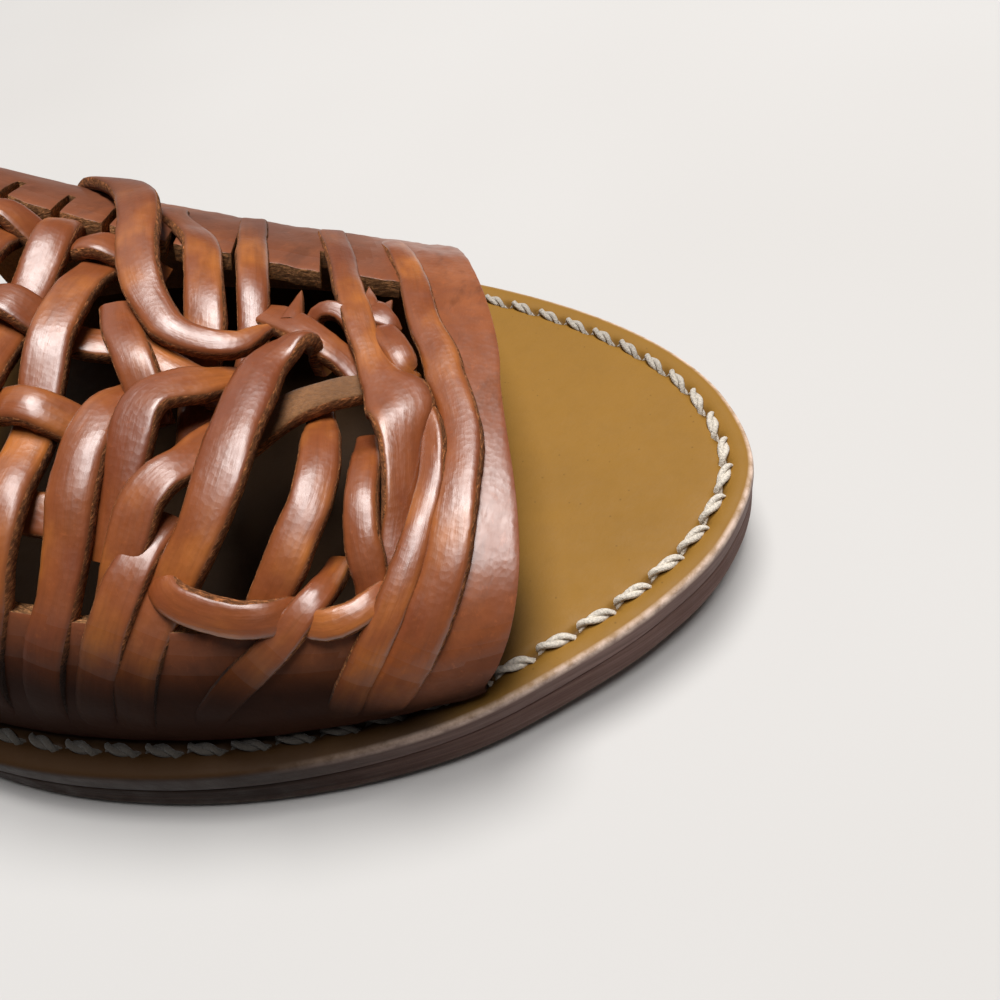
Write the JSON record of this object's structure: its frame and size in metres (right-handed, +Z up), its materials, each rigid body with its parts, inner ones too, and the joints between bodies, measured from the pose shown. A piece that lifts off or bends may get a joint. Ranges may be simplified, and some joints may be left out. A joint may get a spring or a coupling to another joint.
{
  "type": "huarache sandal",
  "caption": "Left open-toed flat sandal with a hollow upper of woven leather strips, a stitched leather sole, a low stacked heel and a plain heel strap.",
  "frame": {"origin": "centre of the bounding box in plan, on the floor the sandal stands on", "axes": "+X from heel to toe, +Y to the outer side of the foot, +Z up"},
  "size_m": [0.255, 0.0874, 0.0837],
  "materials": {
    "outsole": "waxed edge",
    "insole": "smooth vegetable tan",
    "heel_stack": "waxed edge",
    "heel_lift": "matte",
    "upper": "polished",
    "heel_strap": "polished"
  },
  "bodies": {
    "root": {"outsole": "outsole", "insole": "insole", "heel_stack": "heel_stack", "heel_lift": "heel_lift", "upper": "upper", "heel_strap": "heel_strap"}
  },
  "joints": []
}
